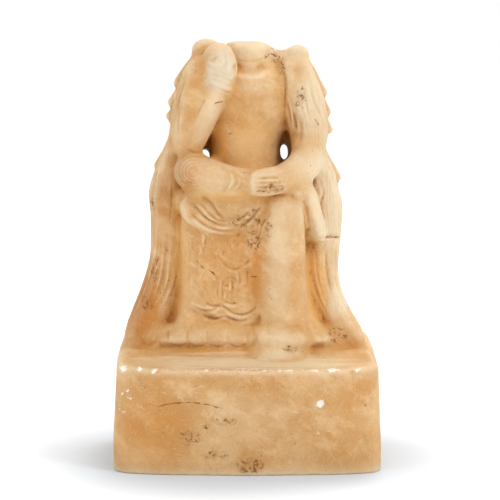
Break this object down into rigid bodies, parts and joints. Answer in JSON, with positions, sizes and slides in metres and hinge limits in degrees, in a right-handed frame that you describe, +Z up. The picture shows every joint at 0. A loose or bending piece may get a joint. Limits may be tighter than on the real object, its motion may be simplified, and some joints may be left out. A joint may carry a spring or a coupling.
{
  "type": "marble bodhisattva torso",
  "caption": "Headless carved marble figure seated in thought, one leg crossed over the other knee, on a draped stool, lotus plinth and plain block.",
  "frame": {"origin": "centre of the block's underside, where the statue stands", "axes": "+Z up from the block to the broken neck, -Y towards the viewer, out of the front of the figure, +X to the viewer's right"},
  "size_m": [0.2521, 0.196, 0.4],
  "materials": {
    "marble": "honey-coloured marble, worn smooth"
  },
  "bodies": {
    "root": {"bodhisattva_torso": "marble"}
  },
  "joints": []
}
